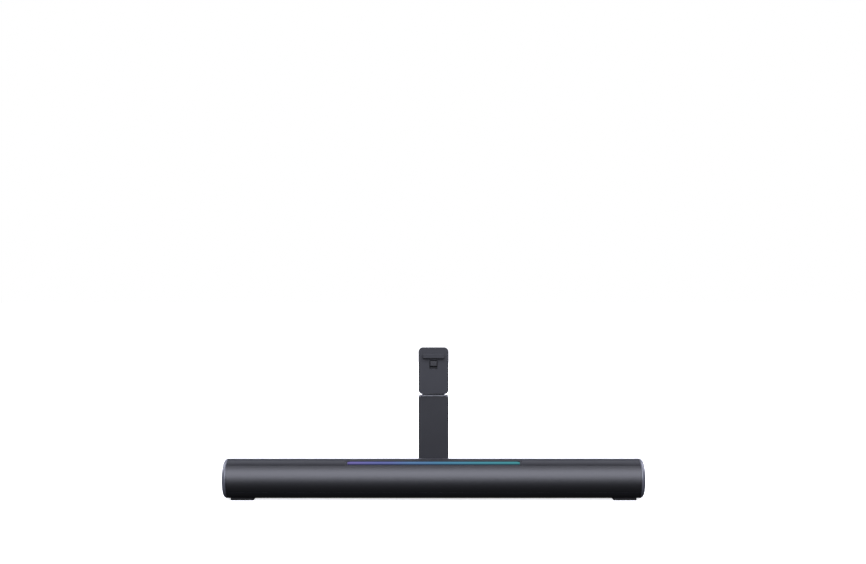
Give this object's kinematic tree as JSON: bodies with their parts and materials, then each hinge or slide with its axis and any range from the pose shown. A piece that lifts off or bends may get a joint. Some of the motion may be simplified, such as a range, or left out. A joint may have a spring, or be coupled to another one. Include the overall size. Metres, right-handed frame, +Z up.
{
  "type": "monitor stand light bar",
  "caption": "Round bar with a coloured light strip and two speakers, on a foot plate with a short neck and tilting monitor head.",
  "frame": {"origin": "on the desk, under the middle of the whole object", "axes": "+X along the bar to the viewer's right, +Y to the rear, +Z up; the bar's front faces -Y"},
  "size_m": [0.454, 0.1712, 0.16],
  "materials": {
    "grille_mesh": "rigid grille of fine dark mesh with a satin sheen",
    "satin_shell": "satin moulded plastic",
    "satin_rim": "smooth satin plastic",
    "light": "frosted light guide",
    "aluminium": "extruded",
    "steel": "zinc plated",
    "painted_steel": "fine textured powder coat",
    "black_plastic": "moulded",
    "circuit_board": "solder mask",
    "rubber": "matte",
    "bronze": "plain",
    "wire": "insulated",
    "paper_cone": "treated paper"
  },
  "bodies": {
    "stand": {"amp_board": "circuit_board", "audio_jack": "black_plastic", "base_plate": "painted_steel", "block_screw_1": "steel", "block_screw_2": "steel", "block_screw_3": "steel", "block_screw_4": "steel", "bottom_shell": "satin_shell", "chassis_beam": "aluminium", "front_grille": "grille_mesh", "heat_spreader": "aluminium", "hinge_bracket": "steel", "hinge_nut": "steel", "hinge_pin": "steel", "led_board": "circuit_board", "left_cap_gasket": "rubber", "left_cone_surround": "rubber", "left_driver_frame": "painted_steel", "left_driver_magnet": "steel", "left_end_cap": "satin_rim", "left_friction_washer": "bronze", "left_front_foot": "rubber", "left_rear_foot": "rubber", "left_speaker_box": "black_plastic", "left_speaker_lead": "wire", "light_bezel": "satin_shell", "light_carrier": "black_plastic", "light_guide": "light", "mount_block": "steel", "neck_core": "steel", "neck_front_cover": "satin_shell", "neck_rear_cover": "satin_shell", "neck_socket": "painted_steel", "port_board": "circuit_board", "power_inlet": "steel", "rear_shell": "satin_shell", "right_cap_gasket": "rubber", "right_cone_surround": "rubber", "right_driver_frame": "painted_steel", "right_driver_magnet": "steel", "right_end_cap": "satin_rim", "right_friction_washer": "bronze", "right_front_foot": "rubber", "right_rear_foot": "rubber", "right_speaker_box": "black_plastic", "right_speaker_lead": "wire", "socket_screw_1": "steel", "socket_screw_2": "steel", "socket_screw_3": "steel", "socket_screw_4": "steel", "top_shell": "satin_shell", "touch_film": "wire"},
    "head": {"tilt_head": "painted_steel", "head_cover": "satin_shell", "release_spring": "steel"},
    "release": {"release_latch": "black_plastic"},
    "left_cone": {"left_speaker_cone": "paper_cone"},
    "right_cone": {"right_speaker_cone": "paper_cone"}
  },
  "joints": [
    {"name": "head_tilt", "type": "hinge", "parent": "stand", "child": "head", "pos_m": [0, 0.0186, 0.118], "axis": [-1, 0, 0], "range_deg": [-5, 20]},
    {"name": "release_press", "type": "slide", "parent": "head", "child": "release", "axis": [0, 0, -1], "range_m": [0, 0.003], "stiffness_N_per_m": 600, "springref_m": -0.002, "deforming": ["release_spring"]},
    {"name": "left_cone_drive", "type": "slide", "parent": "stand", "child": "left_cone", "axis": [0, -1, 0], "range_m": [-0.0015, 0.0015], "stiffness_N_per_m": 1200, "deforming": ["left_cone_surround"]},
    {"name": "right_cone_drive", "type": "slide", "parent": "stand", "child": "right_cone", "axis": [0, -1, 0], "range_m": [-0.0015, 0.0015], "stiffness_N_per_m": 1200, "deforming": ["right_cone_surround"]}
  ]
}
